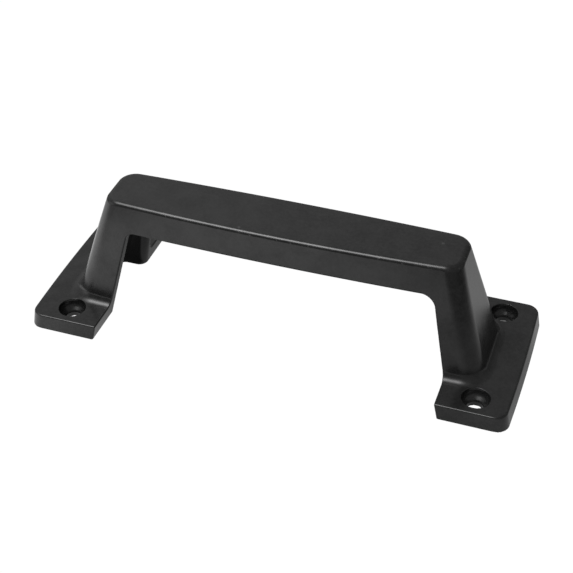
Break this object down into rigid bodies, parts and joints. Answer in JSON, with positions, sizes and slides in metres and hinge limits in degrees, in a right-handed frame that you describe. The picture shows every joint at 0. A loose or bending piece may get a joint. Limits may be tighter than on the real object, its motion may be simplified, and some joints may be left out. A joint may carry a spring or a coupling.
{
  "type": "door grab handle",
  "caption": "Fixed grab handle for a vehicle door: a hollow moulded bow with a straight grip bar and two splayed legs on flat feet with countersunk screw holes.",
  "frame": {"origin": "middle of the mounting face, between the two feet, on the plane of their undersides", "axes": "+X along the grip bar, +Y across it, +Z away from the door"},
  "size_m": [0.1696, 0.06, 0.0446],
  "materials": {
    "black_plastic": "satin as moulded, very fine grain, softly bright on rounded edges"
  },
  "bodies": {
    "root": {"handle_body": "black_plastic"}
  },
  "joints": []
}
